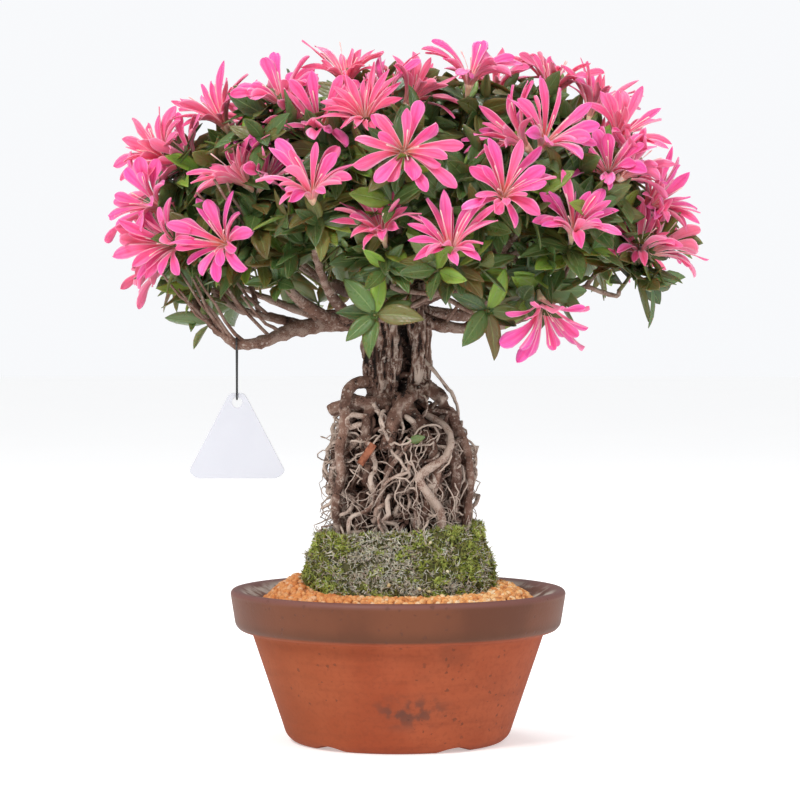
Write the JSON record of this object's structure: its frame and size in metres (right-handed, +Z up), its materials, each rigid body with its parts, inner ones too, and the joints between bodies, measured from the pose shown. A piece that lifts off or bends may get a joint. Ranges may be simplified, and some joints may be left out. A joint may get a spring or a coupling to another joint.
{
  "type": "satsuki azalea bonsai in a pot",
  "caption": "Flowering satsuki azalea bonsai grown over exposed roots on a mossy mound, in a round terracotta pot, with strap-petalled blooms and a plain hanging card.",
  "frame": {"origin": "centre of the pot's flat foot, on the surface it stands on", "axes": "+Z up the trunk, -Y towards the front of the tree, +X to its right as seen from the front"},
  "size_m": [0.3083, 0.257, 0.3678],
  "materials": {
    "terracotta": "unglazed fired clay, matte body, darker faintly glossy rim band",
    "soil": "dry orange and cream granules",
    "moss": "soft short moss over packed soil",
    "bark": "ridged grey-brown bark, paler on the roots",
    "leaf": "leathery leaf with a soft gloss",
    "petal": "thin hot pink petal, paler towards the throat",
    "tag": "plain white coated card",
    "wire": "thin black coated wire"
  },
  "bodies": {
    "root": {"pot": "terracotta", "soil": "soil", "moss_mound": "moss", "trunk_roots_and_branches": "bark", "spray_01": "leaf", "spray_02": "leaf", "spray_03": "leaf", "spray_04": "leaf", "spray_05": "leaf", "spray_06": "leaf", "spray_07": "leaf", "spray_08": "leaf", "spray_09": "leaf", "spray_10": "leaf", "spray_11": "leaf", "spray_12": "leaf", "spray_13": "leaf", "spray_14": "leaf", "spray_15": "leaf", "spray_16": "leaf", "spray_17": "leaf", "spray_18": "leaf", "spray_19": "leaf", "spray_20": "leaf", "spray_21": "leaf", "spray_22": "leaf", "spray_23": "leaf", "spray_24": "leaf", "spray_25": "leaf", "spray_26": "leaf", "spray_27": "leaf", "spray_28": "leaf", "bloom_01": "petal", "bloom_02": "petal", "bloom_03": "petal", "bloom_04": "petal", "bloom_05": "petal", "bloom_06": "petal", "bloom_07": "petal", "bloom_08": "petal", "bloom_09": "petal", "bloom_10": "petal", "bloom_11": "petal", "bloom_12": "petal", "bloom_13": "petal", "bloom_14": "petal", "bloom_15": "petal", "bloom_16": "petal", "bloom_17": "petal", "bloom_18": "petal", "bloom_19": "petal", "bloom_20": "petal", "bloom_21": "petal", "bloom_22": "petal", "bloom_23": "petal", "bloom_24": "petal", "bloom_25": "petal", "bloom_26": "petal", "tag": "tag", "tag_wire": "wire"}
  },
  "joints": []
}
